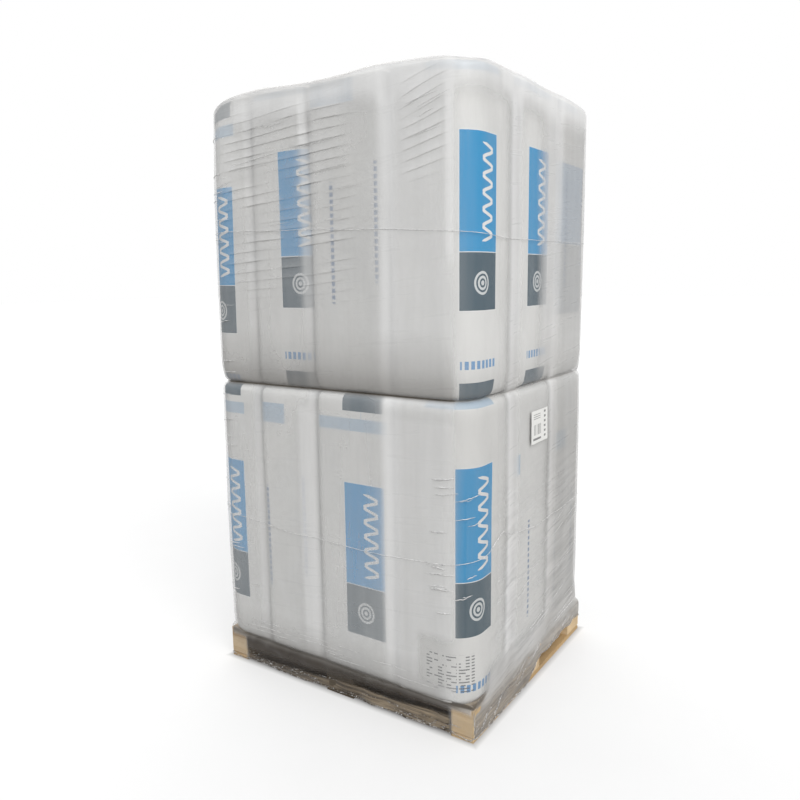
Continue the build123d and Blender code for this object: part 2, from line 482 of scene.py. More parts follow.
def skin(
    name, points, u, v, materials, values=None, kinds=None, closed=True, close_first=False, close_last=False,
):
    """A smooth skin through rows of points, with a UV map and point values. Closed rows meet themselves.

    kinds gives the number of the material above each row, where there are two.
    """
    count_up, count_round = points.shape[:2]
    i = np.arange(count_up - 1)[:, None]
    j = np.arange(count_round if closed else count_round - 1)[None, :]
    corners = [(i, j), (i, j + 1), (i + 1, j + 1), (i + 1, j)]
    faces = np.stack([row * count_round + column % count_round for row, column in corners], axis=-1)
    polygons = faces.reshape(-1, 4).tolist()
    if close_first:
        polygons.append(list(range(count_round))[::-1])
    if close_last:
        polygons.append(list(range((count_up - 1) * count_round, count_up * count_round)))
    mesh = bpy.data.meshes.new(name)
    mesh.from_pydata(points.reshape(-1, 3).tolist(), [], polygons)

    pairs = [np.broadcast_arrays(u[column], v[row, column % count_round]) for row, column in corners]
    uvs = np.zeros((len(mesh.loops), 2))
    uvs[: faces.size] = np.stack([np.stack(pair, axis=-1) for pair in pairs], axis=2).reshape(-1, 2)
    mesh.uv_layers.new(name="wrap").data.foreach_set("uv", uvs.ravel())
    for value_name, value in (values or {}).items():
        attribute = mesh.attributes.new(value_name, "FLOAT", "POINT")
        attribute.data.foreach_set("value", np.broadcast_to(value, (count_up, count_round)).ravel())
    for material in materials:
        mesh.materials.append(material)
    if kinds is not None:
        numbers = np.full(len(mesh.polygons), kinds[0], dtype=np.int32)
        numbers[: faces.size // 4] = np.repeat(kinds, count_round)
        mesh.polygons.foreach_set("material_index", numbers)
    mesh.polygons.foreach_set("use_smooth", np.ones(len(mesh.polygons), dtype=bool))
    mesh.update()
    return link_piece(name, mesh)


# Materials

# Nails in each block, from below: how wide their heads are, and how far they stand from its middle
nail_head = 0.009
nails_apart = (0.024, 0.040)
block_low, block_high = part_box("block_right_back")
block_pitches = ((block_low[0] + block_high[0]) / 2, (block_low[1] + block_high[1]) / 2)

# Where the near corner, which is left light, starts along X, and along Y where the front's wood and creased
# film get painted shadow and dirt
near_corner_x = (0.553, 0.565)
front_edge_y = (-0.38, -0.46)
front_film_y = (-0.54, -0.56)


class ShaderNodes:
    """A material's or the world's nodes while they are being put together."""

    def __init__(self, owner):
        owner.use_nodes = True
        self.tree = owner.node_tree
        self.tree.nodes.clear()

    def put(self, socket, value):
        """Sets a socket to a number or a colour, or links another node's output to it."""
        if isinstance(value, bpy.types.NodeSocket):
            self.tree.links.new(value, socket)
        elif isinstance(value, (tuple, list)) and len(value) == 3 and len(socket.default_value) == 4:
            socket.default_value = (*value, 1)
        else:
            socket.default_value = value

    def new(self, kind, *values, **named):
        """A shader node, with its first inputs given in order, or any of them by name."""
        node = self.tree.nodes.new("ShaderNode" + kind)
        for socket, value in zip(node.inputs, values):
            self.put(socket, value)
        for name, value in named.items():
            self.put(node.inputs[name], value)
        return node

    def calc(self, operation, a, b=0.0, c=0.0):
        node = self.new("Math", a, b, c)
        node.operation = operation
        return node.outputs[0]

    def seen_directly(self):
        """1 for what the camera sees, also in gloss and through clear film, and 0 for light on its way."""
        path = self.new("LightPath").outputs
        either = self.calc("MAXIMUM", path["Is Camera Ray"], path["Is Glossy Ray"])
        return self.calc("MAXIMUM", either, path["Is Transmission Ray"])


class Finish(ShaderNodes):
    """A node material while it is being put together."""

    def __init__(self, name):
        self.material = bpy.data.materials.new(name)
        super().__init__(self.material)
        self.shader = self.new("BsdfPrincipled")
        self.new("OutputMaterial", self.shader.outputs[0])

    def times(self, first, *others):
        for other in others:
            first = self.calc("MULTIPLY", first, other)
        return first

    def plus(self, a, b):
        return self.calc("ADD", a, b)

    def minus(self, a, b):
        return self.calc("SUBTRACT", a, b)

    def distance(self, a, b):
        return self.calc("SQRT", self.plus(self.times(a, a), self.times(b, b)))

    def mix(self, share, first, second):
        """A colour between two colours."""
        node = self.new("Mix")
        node.data_type = "RGBA"
        for number, value in ((0, share), (6, first), (7, second)):
            self.put(node.inputs[number], value)
        return node.outputs[2]

    def place(self, source, turn=(0, 0, 0), scale=(1, 1, 1)):
        """Coordinates turned and scaled for a pattern."""
        return self.new("Mapping", Vector=source, Rotation=turn, Scale=scale).outputs[0]

    def leaning(self, source, slope, scale):
        """Coordinates for streaks that rise at a slope, stretched along it."""
        return self.place(self.place(source, turn=(0, 0, -math.atan(slope))), scale=scale)

    def here(self):
        """A point's own place on its object."""
        return self.new("TexCoord").outputs["Object"]

    def wrap(self):
        """The UV map in metres: along and up."""
        node = self.new("UVMap")
        node.uv_map = "wrap"
        return node.outputs[0]

    def split(self, vector):
        return self.new("SeparateXYZ", vector).outputs

    def value(self, name):
        """A value that the mesh carries at its points."""
        node = self.new("Attribute")
        node.attribute_name = name
        return node.outputs["Fac"]

    def noise(self, vector, scale, detail=3.0, rough=0.5, lift=0.0):
        inputs = {"Vector": vector, "Scale": scale, "Detail": detail, "Roughness": rough, "Distortion": lift}
        return self.new("TexNoise", **inputs).outputs[0]

    def chance(self, dimensions, **inputs):
        """A random number for each place."""
        node = self.new("TexWhiteNoise")
        node.noise_dimensions = dimensions
        for name, value in inputs.items():
            self.put(node.inputs[name], value)
        return node.outputs[0]

    def scaled(self, value, low, high, to_low=0, to_high=1):
        """A value moved from one range to another and held inside it."""
        return self.new("MapRange", value, low, high, to_low, to_high).outputs[0]

    def bump(self, height, depth, strength=1.0, under=None):
        node = self.new("Bump", Strength=strength, Distance=depth, Height=height)
        if under is not None:
            self.put(node.inputs["Normal"], under)
        return node.outputs[0]

    def within(self, u, v, centre_u, centre_v, width, height):
        """1 inside a rectangle of the print and 0 outside it."""
        across = self.calc("COMPARE", u, centre_u, width / 2)
        return self.times(across, self.calc("COMPARE", v, centre_v, height / 2))

    def cells(self, value, pitch):
        return self.calc("FLOOR", self.calc("DIVIDE", value, pitch))

    def stripes(self, value, pitch, share):
        """1 on stripes of a pitch and 0 between them."""
        return self.calc("LESS_THAN", self.calc("FRACT", self.calc("DIVIDE", value, pitch)), share)

    def nail_heads(self):
        """1 on the heads of the nails that hold the skids to the blocks, flush with the skids' undersides."""
        place = self.split(self.here())
        off = []
        for across, pitch, apart in zip(place, block_pitches, nails_apart):
            from_middle = self.calc("ABSOLUTE", self.calc("WRAP", across, pitch / 2, -pitch / 2))
            off.append(self.minus(from_middle, apart))
        head = self.calc("LESS_THAN", self.distance(*off), nail_head / 2)
        return self.times(head, self.calc("LESS_THAN", place[2], 0.0005))

    def finish(self, **sockets):
        for name, value in sockets.items():
            self.put(self.shader.inputs[name.replace("_", " ").title().replace("Ior", "IOR")], value)
        return self.material


ink_blue = (0.028, 0.26, 0.51)
ink_slate = (0.052, 0.088, 0.115)
ink_pale = (0.38, 0.47, 0.56)
ink_white = (0.70, 0.70, 0.70)
ink_grey = (0.12, 0.125, 0.135)

# The bag's print, measured along from its middle and up from the roll's lower end
panel_width = 0.195
panel_border = 0.006
blue_middle, blue_height = 0.739, 0.408
slate_middle, slate_height = 0.430, 0.204
wave_middle, wave_pitch, wave_swing, wave_half_width = 0.032, 0.058, 0.028, 0.0068
rings_middle, rings_reach, ring_pitch = 0.425, 0.043, 0.0165
dash_pitch, dash_share = 0.026, 0.62
line_pitch, word_pitch, column_pitch = 0.012, 0.019, 0.052

# In order: centre along and up, width, height and ink
printed_blocks = (
    (-0.055, 1.172, 0.340, 0.048, ink_pale),
    (0.0, 1.262, panel_width, 0.075, ink_slate),
    (0.0, 0.030, panel_width, 0.076, ink_slate),
    (0.0, blue_middle, panel_width + panel_border, blue_height + panel_border, ink_white),
    (0.0, blue_middle, panel_width, blue_height, ink_blue),
    (0.0, slate_middle, panel_width + panel_border, slate_height + panel_border, ink_white),
    (0.0, slate_middle, panel_width, slate_height, ink_slate),
)

# The plain side's dashed rules (centre along and up, and height), and the faint patches seen through it
# on one roll (centre up, height, strength and colour)
rule_width, patch_width = 0.016, 0.34
dashed_rules = ((-0.045, 0.63, 0.46), (0.165, 0.70, 0.44))
faint_patches = ((0.755, 0.34, 0.9, (0.28, 0.39, 0.52)), (0.43, 0.30, 0.8, (0.30, 0.33, 0.36)))


def plain_side_print(f, v, colour):
    """The bag's plain side: a pale band, two dashed rules, and on one roll two faint patches."""
    reverse = f.value("from_plain_middle")
    for middle, height, strength, tint in faint_patches:
        patch = f.within(reverse, v, 0.0, middle, patch_width, height)
        colour = f.mix(f.times(f.value("faint_patch"), patch, strength), colour, tint)
    colour = f.mix(f.within(reverse, v, -0.035, 1.185, 0.21, 0.085), colour, ink_pale)
    rules = [f.within(reverse, v, at, middle, rule_width, height) for at, middle, height in dashed_rules]
    dashes = f.times(f.calc("MAXIMUM", *rules), f.stripes(v, dash_pitch, dash_share), 0.85)
    return f.mix(dashes, colour, (0.07, 0.15, 0.29))


def panel_print(f, u, v, colour):
    """The panels, with the mat drawn as one bold wave on the blue and a roll's rings on the slate."""
    for centre_u, centre_v, width, height, ink in printed_blocks:
        colour = f.mix(f.within(u, v, centre_u, centre_v, width, height), colour, ink)

    # The wave is of an even width all along
    turn = f.times(v, 2 * math.pi / wave_pitch)
    slope = f.times(f.calc("COSINE", turn), wave_swing * 2 * math.pi / wave_pitch)
    width = f.calc("SQRT", f.plus(f.times(slope, slope), 1.0))
    off_wave = f.minus(f.minus(u, wave_middle), f.times(f.calc("SINE", turn), wave_swing))
    wave = f.calc("COMPARE", f.calc("DIVIDE", off_wave, width), 0.0, wave_half_width)
    colour = f.mix(f.times(wave, f.within(u, v, 0.03, blue_middle, 0.1, 0.338)), colour, ink_white)

    reach = f.distance(u, f.minus(v, rings_middle))
    rings = f.times(f.stripes(reach, ring_pitch, 0.55), f.calc("LESS_THAN", reach, rings_reach))
    return f.mix(rings, colour, (0.55, 0.57, 0.58))


def foot_print(f, u, v, colour):
    """A row of small blue blocks near the lower end, and a ruled block of short grey lines beside them."""
    row = f.within(u, v, 0.0, 0.132, 0.19, 0.030)
    colour = f.mix(f.times(f.stripes(u, dash_pitch, dash_share), row, 0.85), colour, (0.05, 0.22, 0.46))
    cell = f.new("CombineXYZ", f.cells(v, line_pitch), f.cells(u, word_pitch)).outputs[0]
    words = f.calc("GREATER_THAN", f.chance("2D", Vector=cell), 0.36)
    text_columns = f.stripes(f.plus(u, 0.5), column_pitch, 0.84)
    block = f.within(u, v, -0.12, 0.192, 0.205, 0.145)
    lines = f.times(f.stripes(v, line_pitch, 0.42), words, text_columns, block, f.value("ruled_block"), 0.85)
    return f.mix(lines, colour, ink_grey)


def bag_finish():
    """Milky printed polythene: soft folds, a slightly uneven white, and flat blocks of ink."""
    f = Finish("printed_bag")
    wrap = f.wrap()
    u, v, _ = f.split(wrap)
    cloud = f.noise(f.place(wrap, scale=(4, 2, 1)), 2.0, 3)
    colour = f.mix(f.scaled(cloud, 0.35, 0.65), (0.62, 0.62, 0.612), (0.66, 0.66, 0.652))
    colour = plain_side_print(f, v, colour)
    colour = panel_print(f, u, v, colour)
    colour = foot_print(f, u, v, colour)
    # Painted shade on the rolls of the right side
    colour = f.mix(f.times(f.value("right_side_shade"), 0.16), colour, (0.10, 0.09, 0.075))
    folds = f.noise(f.place(wrap, scale=(9, 1.6, 1)), 3.0, 4, 0.55)
    fine = f.noise(f.leaning(wrap, 0.4, (24, 9, 1)), 3.0, 3)
    normal = f.bump(fine, 0.0003, 0.5, f.bump(folds, 0.003, 0.7))
    rough = f.scaled(fine, 0.3, 0.7, 0.42, 0.58)
    return f.finish(base_color=colour, roughness=rough, specular_ior_level=0.3, normal=normal)


def wool_finish():
    """Mineral wool seen on the end of a roll: tan fibres, darker between the turns."""
    f = Finish("mineral_wool")
    here = f.here()
    tufts = f.noise(here, 45, 5, 0.65)
    fibres = f.noise(f.place(here, turn=(0, 0, 0.7), scale=(30, 220, 90)), 3, 4, 0.7)
    both = f.plus(f.times(tufts, 0.6), f.times(fibres, 0.4))
    colour = f.mix(f.scaled(both, 0.35, 0.65), (0.28, 0.185, 0.075), (0.52, 0.39, 0.20))
    colour = f.mix(f.value("turn_seam"), colour, (0.10, 0.065, 0.03))
    return f.finish(base_color=colour, roughness=0.95, normal=f.bump(both, 0.006, 0.9))


def film_finish():
    """Clear film that goes milky where it stands off the bags, with pleats and fine wrinkles."""
    f = Finish("clear_film")
    wrap = f.wrap()
    strength = f.value("pleat_strength")
    through = f.calc("FRACT", f.value("pleat"))
    rise = f.calc("MINIMUM", f.calc("DIVIDE", through, 0.14), 1.0)
    pleat = f.times(f.calc("POWER", f.minus(1.0, through), 1.6), rise, strength)
    drawn = f.noise(f.leaning(wrap, 0.09, (2.6, 34, 1)), 1.0, 4, 0.6, 0.4)
    lean = f.noise(f.leaning(wrap, 0.30, (4, 26, 1)), 1.0, 3, 0.6, 0.6)
    upright = f.noise(f.place(wrap, scale=(9, 0.9, 1)), 1.0, 3, 0.55, 0.3)
    pull = f.noise(f.leaning(wrap, 0.12, (2.2, 24, 1)), 1.0, 4, 0.6, 0.5)
    pull_lift = f.times(f.scaled(pull, 0.35, 0.75, -0.1, 0.3), f.value("pulled"))
    streaks = f.plus(f.scaled(upright, 0.3, 0.7, -0.05, 0.07), pull_lift)
    alpha = f.plus(f.value("haze"), f.plus(streaks, f.times(pleat, 0.2)))
    alpha = f.scaled(alpha, 0.03, 0.95, 0.03, 0.95)
    tint = f.noise(f.place(wrap, scale=(3, 2, 1)), 1.5, 2)
    soil = f.noise(f.place(wrap, scale=(5, 90, 1)), 1.0, 4, 0.6)
    brown = f.mix(f.scaled(soil, 0.38, 0.62), (0.075, 0.058, 0.040), (0.37, 0.295, 0.205))
    colour = f.mix(f.scaled(tint, 0.35, 0.65), (0.69, 0.695, 0.70), (0.73, 0.73, 0.728))
    # Painted sheen, painted shade, and dirt with painted shadow, then mud
    colour = f.mix(f.value("sheen"), colour, (0.90, 0.905, 0.91))
    colour = f.mix(f.value("shade"), colour, (0.11, 0.092, 0.07))
    colour = f.mix(f.value("dirt_and_shadow"), colour, (0.045, 0.035, 0.026))
    colour = f.mix(f.value("mud"), colour, brown)
    fine = f.bump(drawn, 0.0008, 0.25, f.bump(pull_lift, 0.002, 0.8, f.bump(pleat, 0.006, 1.0)))
    normal = f.bump(lean, 0.0008, 0.3, fine)
    rough = f.scaled(drawn, 0.3, 0.7, 0.24, 0.38)
    return f.finish(base_color=colour, roughness=rough, alpha=alpha, normal=normal)


def crease_finish():
    """Film gathered into a crease: whiter and less clear than a single skin, and darker low on the front with
    painted shadow and dirt, but for small painted glints.
    """
    f = Finish("creased_film")
    here = f.here()
    uneven = f.noise(here, 60, 3)
    colour = f.mix(f.scaled(uneven, 0.3, 0.7), (0.66, 0.665, 0.67), (0.84, 0.835, 0.83))
    x, y, z = f.split(here)
    on_front = f.scaled(y, *front_film_y, 0.6, 1)
    on_block = f.times(f.scaled(x, *near_corner_x, 0, 0.5), f.scaled(y, *front_film_y))
    front_shadow_and_dirt = f.times(on_front, f.minus(1.0, on_block))
    # Small specks left light as painted glints
    off_painted_glints = f.scaled(f.noise(here, 150, 2), 0.53, 0.58, 1, 0)
    colour = f.mix(f.times(f.scaled(z, 0.13, 0.09), front_shadow_and_dirt, off_painted_glints), colour, (0.085, 0.066, 0.048))
    alpha = f.scaled(uneven, 0.3, 0.7, 0.35, 0.8)
    return f.finish(base_color=colour, roughness=0.22, alpha=alpha, normal=f.bump(uneven, 0.0008, 0.6))


def wood_finish(name, grain, light, dark):
    """Sawn softwood with its grain along X, Y or Z, with knots, saw marks and weathering."""
    f = Finish(name)
    here = f.here()

    def grained(across, lengthwise):
        return f.place(here, scale=[lengthwise if axis == grain else across for axis in "xyz"])

    rings = f.noise(grained(22.0, 1.1), 1.6, 5, 0.6, 0.5)
    fibre = f.noise(grained(160.0, 5.0), 1.3, 3, 0.6)
    colour = f.mix(f.scaled(rings, 0.32, 0.68), dark, light)
    board = f.noise(grained(9.0, 0.4), 1.0, 1)
    colour = f.mix(f.scaled(board, 0.35, 0.65, 0, 0.25), colour, (0.30, 0.22, 0.14))
    colour = f.mix(f.scaled(fibre, 0.52, 0.72, 0, 0.35), colour, [0.55 * part for part in dark])
    knots = f.new("TexVoronoi", Vector=grained(7.0, 3.0), Scale=1.0).outputs["Distance"]
    colour = f.mix(f.scaled(knots, 0.05, 0.13, 0.75, 0), colour, (0.10, 0.055, 0.025))
    colour = f.mix(f.scaled(f.noise(here, 5.0, 4), 0.52, 0.75, 0, 0.35), colour, (0.13, 0.11, 0.09))

    # The front edge, under the overhang, is dark with a painted shadow and some dirt, but for its corners
    x, y, _ = f.split(here)
    front_shadow_and_dirt = f.times(f.scaled(y, *front_edge_y, 0, 0.94), f.scaled(x, *near_corner_x[::-1]))
    colour = f.mix(f.times(front_shadow_and_dirt, f.scaled(x, -0.565, -0.55, 0.2, 1)), colour, (0.035, 0.028, 0.02))

    # The near corner's wood is clean and pale
    at_corner = f.times(f.scaled(y, *front_edge_y, 0, 0.75), f.scaled(x, *near_corner_x))
    pale = f.mix(f.scaled(rings, 0.32, 0.68), (0.41, 0.30, 0.175), (0.56, 0.42, 0.25))
    colour = f.mix(at_corner, colour, pale)
    colour = f.mix(f.nail_heads(), colour, (0.16, 0.13, 0.11))
    normal = f.bump(fibre, 0.0012, 0.8, f.bump(rings, 0.0016, 0.6))
    return f.finish(base_color=colour, roughness=f.scaled(fibre, 0.3, 0.7, 0.65, 0.9), normal=normal)


def label_finish():
    """White paper label with a block of bars, a few rules and a column of short marks."""
    f = Finish("label_paper")
    u, v, _ = f.split(f.wrap())
    bars = f.calc("GREATER_THAN", f.chance("1D", W=f.cells(u, 0.0022)), 0.5)
    bars = f.times(bars, f.within(u, v, 0.062, 0.062, 0.075, 0.045))
    rules = f.times(f.stripes(v, 0.009, 0.3), f.within(u, v, 0.058, 0.118, 0.07, 0.03))
    foot = f.within(u, v, 0.06, 0.022, 0.08, 0.009)
    marks = f.times(f.stripes(v, 0.021, 0.45), f.within(u, v, 0.14, 0.077, 0.018, 0.13))
    ink = f.calc("MAXIMUM", f.calc("MAXIMUM", bars, rules), f.calc("MAXIMUM", foot, marks))
    paper = f.mix(f.noise(f.here(), 90, 3), (0.70, 0.70, 0.68), (0.78, 0.78, 0.77))
    colour = f.mix(f.times(ink, 0.85), paper, (0.05, 0.05, 0.055))
    normal = f.bump(f.noise(f.here(), 300, 2), 0.0002, 0.4)
    return f.finish(base_color=colour, roughness=0.45, normal=normal)


bag = bag_finish()
wool = wool_finish()
clear_film = film_finish()
creased_film = crease_finish()
label_paper = label_finish()
board_light, board_dark = (0.60, 0.405, 0.195), (0.37, 0.235, 0.105)
wood_along_x = wood_finish("wood_along_x", "x", board_light, board_dark)
wood_along_y = wood_finish("wood_along_y", "y", board_light, board_dark)
wood_blocks = wood_finish("wood_blocks", "x", (0.73, 0.555, 0.34), (0.57, 0.42, 0.25))


# Rolls

# Where a roll's print shows: the side that it faces, where along that side its middle is, how far it is
# shifted up, and how much it is drawn out. Rolls that aren't named turn it to the left or the back.
print_places = {
    "roll_upper_front_4": ("right", -0.512, 0.0, 1.0),
    "roll_upper_middle_4": ("right", -0.030, 0.0, 1.0),
    "roll_upper_front_2": ("front", -0.120, 0.004, 1.0),
    "roll_upper_front_1": ("front", -0.590, -0.11, 1.0),
    "roll_lower_front_4": ("right", -0.527, -0.008, 1.08),
    "roll_lower_front_3": ("front", 0.175, -0.120, 1.05),
    "roll_lower_front_1": ("front", -0.588, -0.105, 1.05),
}

# Where a roll's plain side shows instead
plain_places = {
    "roll_upper_front_3": ("front", 0.094, -0.05, 1.0),
    "roll_upper_back_4": ("right", 0.32, 0.0, 1.0),
    "roll_lower_front_2": ("front", -0.305, -0.10, 1.0),
    "roll_lower_back_4": ("right", 0.27, -0.28, 1.0),
    "roll_lower_middle_4": ("right", -0.24, -0.30, 1.0),
}
turned_away_shift = -0.06
near_foot_roll = "roll_lower_front_4"
patched_roll = "roll_upper_back_4"

# How much painted shade darkens the rolls of the right side, in each tier and row
right_side_shading = {("lower", "front"): 1.0, ("lower", "middle"): 1.0, ("lower", "back"): 2.8, ("upper", "back"): 0.8}


def corner_radii(row, column):
    """The roll's corner radii from +X -Y round: wide on the load's own corners, tight beside a neighbour."""
    right, left = column == columns[-1], column == columns[0]
    front, back = row == rows[0], row == rows[-1]
    sizes = {0: inner_corner, 1: edge_corner, 2: outer_corner}
    corners = ((right, front), (right, back), (left, back), (left, front))
    return [sizes[on_side + on_end] for on_side, on_end in corners]


class RollSkin:
    """The rings of one bagged roll, from its lower eye up its side to its upper eye."""

    def __init__(self, name, row, column, number):
        low, high = np.array(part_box(name))[:, :2]
        self.centre, self.number = (low + high) / 2, number
        line = PlanLine(*((high - low) / 2 - bag_gap), corner_radii(row, column))
        turned_away = ("left", self.centre[1], turned_away_shift, 1.0)
        if row == rows[-1]:
            turned_away = ("back", self.centre[0], turned_away_shift, 1.0)
        side, at, self.shift, self.stretch = {**print_places, **plain_places}.get(name, turned_away)

        # Places are given on the solid's side, which is longer than the bag's by the gap at its start
        from_centre = at - self.centre[0 if side in ("front", "back") else 1]
        middle = line.place(side, from_centre) + bag_gap + (name in plain_places) * line.length / 2
        self.u = (np.arange(points_round + 1) / points_round - 0.5) * line.length
        self.plain = np.mod(self.u[:-1], line.length) - line.length / 2
        self.line, self.out = line.points(middle + self.u[:-1])
        self.direction = np.arctan2(self.line[:, 1], self.line[:, 0])
        eye = [eye_half_width * np.cos(self.direction), eye_half_length * np.sin(self.direction)]
        self.eye = np.stack(eye, axis=-1)
        self.rings = []

    def add(self, ring, level, mark, seam, kind):
        """One ring: its points and level, the print's level, the mat's seam and the material above it."""
        whole = np.ones(points_round)
        self.rings.append((ring, level * whole, mark * whole, seam * whole, kind))

    def add_side(self, inset, level):
        """One ring of the bag's side."""
        self.add(self.line - self.out * np.reshape(inset, (-1, 1)), level, level, 0.0, 0)

    def add_round(self, end, size, angles, up):
        """The rounded edge between an end and the side. up is 1 at the foot and -1 at the top."""
        for angle in angles:
            level = end + up * size[0] * (1 - math.cos(angle))
            self.add_side(size[1] * (1 - math.sin(angle)) + turn_in(level), level)

    def add_end(self, shares, level, way, inset):
        """Rings of one end, by shares of the way from the eye to the rim. way is above 0 at the top."""
        rim = self.line - self.out * inset
        for share in shares:
            wound = np.mod(share * turns_of_mat - self.direction / (2 * math.pi) * way, 1)
            seam = hump(wound, 0.5, 0.13) * (share < bag_fold)
            puckers = np.sin(self.direction * puckers_round + 2.4 * np.sin(self.direction * 3 + self.number))
            pucker = 0.0032 * puckers * smooth_step(share, bag_fold - 0.02, bag_fold + 0.1) * (share < 0.97)
            sunk = 0.008 * (share < bag_fold) + 0.007 * seam - pucker
            hole = 0.045 * max(0.0, 1 - share / 0.04)
            crown = end_crown * (1 - share ** 2)
            kind = 1 if share < bag_fold - 0.015 else 0
            self.add(toward(self.eye, rim, share), level + way * (crown - sunk - hole), level, seam, kind)


def make_roll(tier, row, column, number):
    """One bagged roll: its side, its rounded ends, and the turns of mat inside the bag's folded rim."""
    name = roll_name(tier, row, column)
    low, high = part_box(name)
    roll = RollSkin(name, row, column, number)
    base = low[2] + 0.001
    top = high[2] - (upper_rolls_lowered if tier == "upper" else 0.003)
    foot_round = lower_foot_round if tier == "lower" else end_round
    if name == near_foot_roll:
        foot_round = near_foot_round
    shares = np.concatenate([np.linspace(0, 0.9, 30), [0.95, 1.0]])
    quarter = np.radians([18, 36, 54, 72])
    roll.add_end(shares, base, 0 if tier == "lower" else -0.5, foot_round[1] + turn_in(base))
    roll.add_round(base, foot_round, quarter, 1)
    steps = np.arange(points_round) / points_round
    folds = 0.0014 * soft_noise(steps * 12, 0 * steps, 40 + number, 12)
    for level in np.linspace(base + foot_round[0], top - end_round[0], rings_up):
        dents = 0.0014 * soft_noise(steps * 8, 0 * steps + level / 0.22, 80 + number, 8)
        near_end = np.clip(1 - min(level - base, top - level) / 0.25, 0, 1)
        roll.add_side(turn_in(level) + 0.001 + dents + folds * near_end, level)
    roll.add_round(top, end_round, quarter[::-1], -1)
    roll.add_end(shares[::-1], top, 1 if tier == "upper" else 0.2, end_round[1] + turn_in(top))

    rings, levels, marks, seams, kinds = [np.array(part) for part in zip(*roll.rings)]
    places = rings + roll.centre
    if tier == "upper":
        near_top = smooth_step(levels, top - 0.20, top)
        levels = levels - near_top * corner_drop(places[..., 0], places[..., 1])
    points = drawn_together(np.concatenate([places, levels[..., None]], axis=-1))
    print_level = (marks - low[2] - roll.shift - blue_middle) / roll.stretch + blue_middle
    values = {
        "turn_seam": seams,
        "ruled_block": float(name == near_foot_roll),
        "faint_patch": float(name == patched_roll),
        "right_side_shade": right_side_shading.get((tier, row), 0.0) * (column == columns[-1]),
        "from_plain_middle": roll.plain[None, :],
    }
    piece = skin(
        name.replace("roll", "bagged_roll"), points, roll.u, print_level, (bag, wool), values, kinds[:-1],
        close_first=True, close_last=True,
    )
    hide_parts(name)
    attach(piece, "root")


for number, (tier, row, column) in enumerate(product(tiers, rows, columns), start=1):
    make_roll(tier, row, column, number)


# Film

# How far apart the film's points are on each stretch of its line, from the middle of the near corner
column_steps = (0.008, 0.0105, 0.010, 0.016, 0.010, 0.016, 0.008, 0.008, 0.008)


def film_columns():
    """Places round the film for the mesh's points: closest together on the front and the corners."""
    places = []
    for start, end, step in zip(film_line.knots[:-1], film_line.knots[1:], column_steps):
        places.append(np.linspace(start, end, max(2, round((end - start) / step)), endpoint=False))
    return np.concatenate(places)


film_along = film_columns()


def tier_rows(start, end):
    """Heights for the film's rows, with finer ones near the gap between the tiers."""
    even = np.linspace(start, end, round((end - start) / row_step) + 1)
    near = np.arange(0, 0.044, fine_row_step)
    near = waist + near if start == waist else waist - near
    return np.sort(np.concatenate([near, even[np.abs(even - waist) > 0.046]]))


def over_the_ends(edge, edge_height):
    """Rows of film over the rolls' ends: a soft cushion over each roll, and a dip between them."""
    rings, hazes, ups = [], [], []
    for share in np.linspace(0, 0.985, 34)[1:]:
        x, y = edge[:, 0] * (1 - share), edge[:, 1] * (1 - share)
        apart = np.min([np.abs(y - line) for line in row_lines], axis=0)
        row_index = np.digitize(y, row_lines)
        for index, row in enumerate(rows):
            to_column = np.min([np.abs(x - line) for line in column_lines[row]], axis=0)
            apart = np.where(row_index == index, np.minimum(apart, to_column), apart)
        over_roll = smooth_step(apart, 0.0, 0.05)
        z = toward(edge[:, 2], stack_top - 0.016 + 0.015 * over_roll, smooth_step(share, 0.0, 0.10))
        z = z + 0.001 * soft_noise(x / 0.05 + 40, y / 0.16 + 40, 51)
        z = z + 0.001 * soft_noise(x / 0.2 + 9, y / 0.045, 53)
        cloud = 0.10 * soft_noise(x / 0.15 + 20, y / 0.15 + 20, 57)
        rings.append(np.stack([x, y, z], axis=-1))
        hazes.append(0.20 + 0.28 * (1 - over_roll) + cloud + 0.4 * (1 - smooth_step(share, 0.02, 0.2)))
        ups.append(edge_height + share * 0.6)
    hazes = np.clip(np.stack(hazes), 0.06, 0.7)
    return np.stack(rings), {"haze": hazes, "shade": np.full_like(hazes, 0.42)}, np.stack(ups)


def film_skin(name, height, over_top=False):
    """A film skin from rows of heights, with the rows over the rolls' ends where it goes over the top."""
    along = np.repeat(film_along[None, :], len(height), axis=0)
    points, _ = film_surface(along, height)
    values = film_looks(along, height)
    if over_top:
        cap_points, cap_values, cap_height = over_the_ends(points[-1], height[-1])
        points = np.concatenate([points, cap_points])
        height = np.concatenate([height, cap_height])
        none = np.zeros_like(cap_height)
        values = {key: np.concatenate([value, cap_values.get(key, none)]) for key, value in values.items()}
    u = np.append(film_along, around)
    piece = skin(name, points, u, height, (clear_film,), values, close_last=over_top)
    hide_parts("stretch_hood")
    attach(piece, "root")
    return piece


def all_round(levels):
    """Rows of one height each."""
    return np.repeat(levels[:, None], len(film_along), axis=1)


def lower_film():
    """The film from its hem up to the gap between the tiers."""
    foot = toward(hem_line(film_along), foot_top, np.linspace(0, 1, 26)[:, None])
    return film_skin("film_lower", np.concatenate([foot, all_round(tier_rows(foot_top, waist)[1:])]))


def upper_film():
    """The film from the gap between the tiers up and over the top."""
    side_top = stack_top - left_corner_drop - shoulder_round
    round_start = top_line(film_along) - shoulder_round
    below = toward(side_top, round_start, np.linspace(0, 1, 4)[1:, None])
    turn = round_start + shoulder_round * math.pi / 2 * np.linspace(0, 1, 11)[1:, None]
    side = all_round(tier_rows(waist, side_top))
    return film_skin("film_upper", np.concatenate([side, below, turn]), over_top=True)


film_lower = lower_film()
film_upper = upper_film()


# Creases in the film, and its overlapped edges

rng = np.random.default_rng(12)


